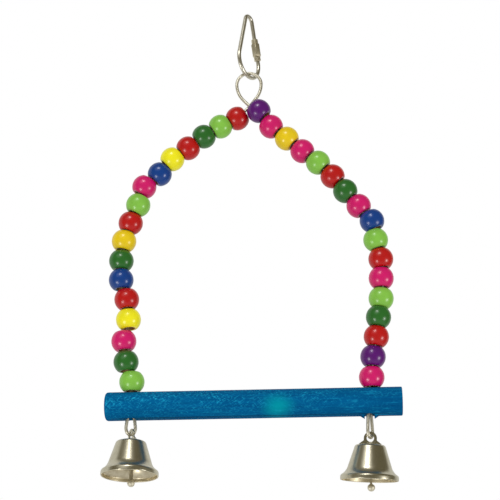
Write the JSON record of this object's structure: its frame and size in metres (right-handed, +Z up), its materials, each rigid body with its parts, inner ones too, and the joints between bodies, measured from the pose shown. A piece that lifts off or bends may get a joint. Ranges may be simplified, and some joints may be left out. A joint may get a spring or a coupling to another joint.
{
  "type": "bird swing",
  "caption": "Wire arch threaded with round lacquered beads over a dyed wooden perch, with a bell under each end and a screw link at the top to hang it by.",
  "frame": {"origin": "inside of the quick link's top bend, where a hook or cage bar carries the swing", "axes": "+Z up, +X along the perch to its right end as pictured, -Y towards the picture's side"},
  "size_m": [0.1323, 0.0283, 0.2319],
  "materials": {
    "link_steel": "bright zinc plating",
    "wire_steel": "bright nickel plating",
    "perch_wood": "stain-dyed, smooth, with the grain showing",
    "bell_nickel": "polished nickel plating",
    "bead_red": "gloss lacquer",
    "bead_lime": "gloss lacquer",
    "bead_dark_green": "gloss lacquer",
    "bead_lemon": "gloss lacquer",
    "bead_golden": "gloss lacquer",
    "bead_blue": "gloss lacquer",
    "bead_pink": "gloss lacquer",
    "bead_purple": "gloss lacquer"
  },
  "bodies": {
    "link": {"quick_link": "link_steel"},
    "sleeve": {"link_sleeve": "link_steel"},
    "swing": {"frame_wire": "wire_steel", "perch": "perch_wood"},
    "bell_left": {"bell_left": "bell_nickel", "hanger_left": "wire_steel"},
    "bell_right": {"bell_right": "bell_nickel", "hanger_right": "wire_steel"},
    "clapper_left": {"clapper_left": "wire_steel"},
    "clapper_right": {"clapper_right": "wire_steel"},
    "bead_left_01": {"bead_left_01": "bead_red"},
    "bead_left_02": {"bead_left_02": "bead_lime"},
    "bead_left_03": {"bead_left_03": "bead_dark_green"},
    "bead_left_04": {"bead_left_04": "bead_red"},
    "bead_left_05": {"bead_left_05": "bead_lemon"},
    "bead_left_06": {"bead_left_06": "bead_blue"},
    "bead_left_07": {"bead_left_07": "bead_pink"},
    "bead_left_08": {"bead_left_08": "bead_lime"},
    "bead_left_09": {"bead_left_09": "bead_red"},
    "bead_left_10": {"bead_left_10": "bead_golden"},
    "bead_left_11": {"bead_left_11": "bead_dark_green"},
    "bead_left_12": {"bead_left_12": "bead_blue"},
    "bead_left_13": {"bead_left_13": "bead_red"},
    "bead_left_14": {"bead_left_14": "bead_lemon"},
    "bead_left_15": {"bead_left_15": "bead_pink"},
    "bead_left_16": {"bead_left_16": "bead_dark_green"},
    "bead_left_17": {"bead_left_17": "bead_lime"},
    "bead_right_01": {"bead_right_01": "bead_purple"},
    "bead_right_02": {"bead_right_02": "bead_pink"},
    "bead_right_03": {"bead_right_03": "bead_golden"},
    "bead_right_04": {"bead_right_04": "bead_pink"},
    "bead_right_05": {"bead_right_05": "bead_lime"},
    "bead_right_06": {"bead_right_06": "bead_red"},
    "bead_right_07": {"bead_right_07": "bead_dark_green"},
    "bead_right_08": {"bead_right_08": "bead_pink"},
    "bead_right_09": {"bead_right_09": "bead_blue"},
    "bead_right_10": {"bead_right_10": "bead_lime"},
    "bead_right_11": {"bead_right_11": "bead_red"},
    "bead_right_12": {"bead_right_12": "bead_pink"},
    "bead_right_13": {"bead_right_13": "bead_lime"},
    "bead_right_14": {"bead_right_14": "bead_dark_green"},
    "bead_right_15": {"bead_right_15": "bead_red"},
    "bead_right_16": {"bead_right_16": "bead_purple"},
    "bead_right_17": {"bead_right_17": "bead_pink"}
  },
  "joints": [
    {"name": "sleeve_slide", "type": "slide", "parent": "link", "child": "sleeve", "axis": [-0.1295, -0.2242, 0.9659], "range_m": [0, 0.0078]},
    {"name": "swing_pivot", "type": "hinge", "parent": "link", "child": "swing", "pos_m": [0, 0, -0.02947], "axis": [1, 0, 0], "range_deg": [-50, 50]},
    {"name": "bell_left_swing", "type": "hinge", "parent": "swing", "child": "bell_left", "pos_m": [-0.05267, -0.00002, -0.20367], "axis": [0.838, 0.5439, -0.0431], "range_deg": [-45, 45]},
    {"name": "bell_right_swing", "type": "hinge", "parent": "swing", "child": "bell_right", "pos_m": [0.05213, 0.00003, -0.20693], "axis": [0.0055, 0.9945, 0.1044], "range_deg": [-45, 45]},
    {"name": "clapper_left_swing", "type": "hinge", "parent": "bell_left", "child": "clapper_left", "pos_m": [-0.05222, -0.00115, -0.20934], "axis": [0.8387, 0.5446, 0], "range_deg": [-32, 32]},
    {"name": "clapper_right_swing", "type": "hinge", "parent": "bell_right", "child": "clapper_right", "pos_m": [0.05184, 0.00063, -0.2126], "axis": [0, 1, 0], "range_deg": [-32, 32]},
    {"name": "bead_left_01_spin", "type": "hinge", "parent": "swing", "child": "bead_left_01", "pos_m": [-0.00572, 0.00213, -0.05183], "axis": [-0.8387, -0.0031, -0.5446], "continuous": true},
    {"name": "bead_left_02_spin", "type": "hinge", "parent": "swing", "child": "bead_left_02", "pos_m": [-0.01368, 0.00104, -0.05626], "axis": [-0.8387, -0.0031, -0.5446], "continuous": true},
    {"name": "bead_left_03_spin", "type": "hinge", "parent": "swing", "child": "bead_left_03", "pos_m": [-0.02147, 0.00071, -0.06132], "axis": [-0.8387, -0.0031, -0.5446], "continuous": true},
    {"name": "bead_left_04_spin", "type": "hinge", "parent": "swing", "child": "bead_left_04", "pos_m": [-0.02895, 0.00113, -0.06684], "axis": [-0.8103, -0.0034, -0.586], "continuous": true},
    {"name": "bead_left_05_spin", "type": "hinge", "parent": "swing", "child": "bead_left_05", "pos_m": [-0.03625, 0.00034, -0.07256], "axis": [-0.7281, -0.0039, -0.6854], "continuous": true},
    {"name": "bead_left_06_spin", "type": "hinge", "parent": "swing", "child": "bead_left_06", "pos_m": [-0.04217, 0.00091, -0.07969], "axis": [-0.6339, -0.0044, -0.7734], "continuous": true},
    {"name": "bead_left_07_spin", "type": "hinge", "parent": "swing", "child": "bead_left_07", "pos_m": [-0.04927, 0.00056, -0.08606], "axis": [-0.5295, -0.0049, -0.8483], "continuous": true},
    {"name": "bead_left_08_spin", "type": "hinge", "parent": "swing", "child": "bead_left_08", "pos_m": [-0.05189, 0.00005, -0.09527], "axis": [-0.4159, -0.0052, -0.9094], "continuous": true},
    {"name": "bead_left_09_spin", "type": "hinge", "parent": "swing", "child": "bead_left_09", "pos_m": [-0.05533, 0.00077, -0.10387], "axis": [-0.2949, -0.0055, -0.9555], "continuous": true},
    {"name": "bead_left_10_spin", "type": "hinge", "parent": "swing", "child": "bead_left_10", "pos_m": [-0.05817, 0.00041, -0.1128], "axis": [-0.1686, -0.0057, -0.9857], "continuous": true},
    {"name": "bead_left_11_spin", "type": "hinge", "parent": "swing", "child": "bead_left_11", "pos_m": [-0.05922, 0.00081, -0.12221], "axis": [-0.0384, -0.0057, -0.9992], "continuous": true},
    {"name": "bead_left_12_spin", "type": "hinge", "parent": "swing", "child": "bead_left_12", "pos_m": [-0.05896, 0, -0.13174], "axis": [0.0933, -0.0057, -0.9956], "continuous": true},
    {"name": "bead_left_13_spin", "type": "hinge", "parent": "swing", "child": "bead_left_13", "pos_m": [-0.05622, 0.00025, -0.14104], "axis": [0.1045, -0.0057, -0.9945], "continuous": true},
    {"name": "bead_left_14_spin", "type": "hinge", "parent": "swing", "child": "bead_left_14", "pos_m": [-0.05521, 0.00019, -0.15066], "axis": [0.1045, -0.0057, -0.9945], "continuous": true},
    {"name": "bead_left_15_spin", "type": "hinge", "parent": "swing", "child": "bead_left_15", "pos_m": [-0.05707, 0.00014, -0.16074], "axis": [0.1045, -0.0057, -0.9945], "continuous": true},
    {"name": "bead_left_16_spin", "type": "hinge", "parent": "swing", "child": "bead_left_16", "pos_m": [-0.05583, 0.00008, -0.17036], "axis": [0.0523, -0.0057, -0.9986], "continuous": true},
    {"name": "bead_left_17_spin", "type": "hinge", "parent": "swing", "child": "bead_left_17", "pos_m": [-0.05302, 0.00033, -0.17955], "axis": [0, -0.0057, -1], "continuous": true},
    {"name": "bead_right_01_spin", "type": "hinge", "parent": "swing", "child": "bead_right_01", "pos_m": [0.00469, -0.0021, -0.05029], "axis": [0.7193, 0.004, -0.6946], "continuous": true},
    {"name": "bead_right_02_spin", "type": "hinge", "parent": "swing", "child": "bead_right_02", "pos_m": [0.01037, -0.00103, -0.058], "axis": [0.7193, 0.004, -0.6946], "continuous": true},
    {"name": "bead_right_03_spin", "type": "hinge", "parent": "swing", "child": "bead_right_03", "pos_m": [0.01769, -0.00069, -0.06421], "axis": [0.7193, 0.004, -0.6946], "continuous": true},
    {"name": "bead_right_04_spin", "type": "hinge", "parent": "swing", "child": "bead_right_04", "pos_m": [0.02484, -0.00035, -0.07069], "axis": [0.7193, 0.004, -0.6946], "continuous": true},
    {"name": "bead_right_05_spin", "type": "hinge", "parent": "swing", "child": "bead_right_05", "pos_m": [0.03205, -0.00107, -0.07702], "axis": [0.7193, 0.004, -0.6946], "continuous": true},
    {"name": "bead_right_06_spin", "type": "hinge", "parent": "swing", "child": "bead_right_06", "pos_m": [0.03862, -0.00058, -0.0839], "axis": [0.7193, 0.004, -0.6946], "continuous": true},
    {"name": "bead_right_07_spin", "type": "hinge", "parent": "swing", "child": "bead_right_07", "pos_m": [0.04429, -0.00084, -0.09149], "axis": [0.6326, 0.0044, -0.7745], "continuous": true},
    {"name": "bead_right_08_spin", "type": "hinge", "parent": "swing", "child": "bead_right_08", "pos_m": [0.05026, -0.00019, -0.09877], "axis": [0.5152, 0.0049, -0.857], "continuous": true},
    {"name": "bead_right_09_spin", "type": "hinge", "parent": "swing", "child": "bead_right_09", "pos_m": [0.05609, -0.00045, -0.10638], "axis": [0.3892, 0.0053, -0.9211], "continuous": true},
    {"name": "bead_right_10_spin", "type": "hinge", "parent": "swing", "child": "bead_right_10", "pos_m": [0.05746, -0.00085, -0.1158], "axis": [0.2563, 0.0055, -0.9666], "continuous": true},
    {"name": "bead_right_11_spin", "type": "hinge", "parent": "swing", "child": "bead_right_11", "pos_m": [0.0595, -0.00034, -0.12486], "axis": [0.1179, 0.0057, -0.993], "continuous": true},
    {"name": "bead_right_12_spin", "type": "hinge", "parent": "swing", "child": "bead_right_12", "pos_m": [0.05934, -0.00059, -0.13412], "axis": [-0.0223, 0.0057, -0.9997], "continuous": true},
    {"name": "bead_right_13_spin", "type": "hinge", "parent": "swing", "child": "bead_right_13", "pos_m": [0.05901, 0.00022, -0.14338], "axis": [-0.1626, 0.0057, -0.9867], "continuous": true},
    {"name": "bead_right_14_spin", "type": "hinge", "parent": "swing", "child": "bead_right_14", "pos_m": [0.05751, -0.00049, -0.15233], "axis": [-0.165, 0.0057, -0.9863], "continuous": true},
    {"name": "bead_right_15_spin", "type": "hinge", "parent": "swing", "child": "bead_right_15", "pos_m": [0.05625, -0.00013, -0.16128], "axis": [-0.165, 0.0057, -0.9863], "continuous": true},
    {"name": "bead_right_16_spin", "type": "hinge", "parent": "swing", "child": "bead_right_16", "pos_m": [0.0545, 0.00022, -0.17035], "axis": [-0.0828, 0.0057, -0.9965], "continuous": true},
    {"name": "bead_right_17_spin", "type": "hinge", "parent": "swing", "child": "bead_right_17", "pos_m": [0.05361, -0.00003, -0.17978], "axis": [0, 0.0057, -1], "continuous": true}
  ]
}
